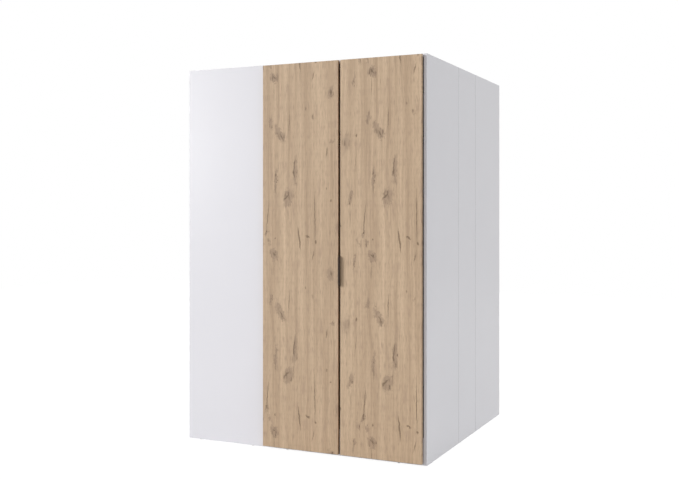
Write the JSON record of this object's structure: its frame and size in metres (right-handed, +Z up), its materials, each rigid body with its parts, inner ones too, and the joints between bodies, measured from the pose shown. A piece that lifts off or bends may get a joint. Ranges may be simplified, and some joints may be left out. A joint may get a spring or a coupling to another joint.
{
  "type": "corner wardrobe",
  "caption": "Freestanding corner wardrobe: plain blind front panel beside hinged oak-decor doors with a slim edge pull, white boarded sides, hat shelf and clothes rails inside.",
  "frame": {"origin": "on the floor, in the middle of the whole outline, doors and pull included", "axes": "+X to the right seen from the front, +Y to the back, +Z up; the doors face -Y"},
  "size_m": [1.37, 1.328, 2],
  "materials": {
    "white_laminate": "satin melamine on board",
    "white_hardboard": "matt paint on hardboard",
    "oak_decor": "matt knotty oak decor",
    "dark_enamel": "satin dark enamel",
    "zinc_steel": "zinc plated",
    "chromed_steel": "polished",
    "white_plastic": "extruded",
    "glide_plastic": "moulded",
    "beech_dowel": "bare",
    "clear_rubber": "translucent"
  },
  "bodies": {
    "carcass": {"back_bearer": "white_laminate", "back_joint_profiles": "white_plastic", "back_panel_centre": "white_hardboard", "back_panel_left": "white_hardboard", "back_panel_nails": "zinc_steel", "back_panel_right": "white_hardboard", "blind_panel": "white_laminate", "bottom_front_board": "white_laminate", "bottom_middle_board": "white_laminate", "bottom_rear_board": "white_laminate", "cam_bolts": "zinc_steel", "cam_discs": "zinc_steel", "corner_rail": "chromed_steel", "corner_shelf": "white_laminate", "dowels": "beech_dowel", "floor_glides": "glide_plastic", "front_bearer": "white_laminate", "front_plinth": "white_laminate", "hinge_partition": "white_laminate", "left_hinge_arms": "zinc_steel", "left_hinge_plates": "zinc_steel", "left_plate_screws": "zinc_steel", "left_side_front_board": "white_laminate", "left_side_middle_board": "white_laminate", "left_side_rear_board": "white_laminate", "rail_flanges": "chromed_steel", "rail_hangers": "chromed_steel", "rail_screws": "zinc_steel", "rear_bearer": "white_laminate", "rear_rail": "chromed_steel", "rear_shelf": "white_laminate", "right_hinge_arms": "zinc_steel", "right_hinge_plates": "zinc_steel", "right_plate_screws": "zinc_steel", "right_side_front_board": "white_laminate", "right_side_middle_board": "white_laminate", "right_side_rear_board": "white_laminate", "seam_plate_screws": "zinc_steel", "seam_plates": "zinc_steel", "shelf_cleat": "white_laminate", "shelf_pins": "zinc_steel", "top_front_board": "white_laminate", "top_middle_board": "white_laminate", "top_rear_board": "white_laminate", "wall_bracket_screws": "zinc_steel", "wall_brackets": "zinc_steel"},
    "right_door": {"right_door": "oak_decor", "right_hinge_cups": "zinc_steel", "right_hinge_pins": "zinc_steel", "right_cup_screws": "zinc_steel", "edge_pull": "dark_enamel", "pull_screws": "zinc_steel", "right_bumpers": "clear_rubber"},
    "left_door": {"left_door": "oak_decor", "left_hinge_cups": "zinc_steel", "left_hinge_pins": "zinc_steel", "left_cup_screws": "zinc_steel", "left_bumpers": "clear_rubber"}
  },
  "joints": [
    {"name": "right_door_hinge", "type": "hinge", "parent": "carcass", "child": "right_door", "pos_m": [0.656, -0.6405, 1], "axis": [0, 0, 1], "range_deg": [0, 100]},
    {"name": "left_door_hinge", "type": "hinge", "parent": "carcass", "child": "left_door", "pos_m": [-0.206, -0.6405, 1], "axis": [0, 0, -1], "range_deg": [0, 100]}
  ]
}
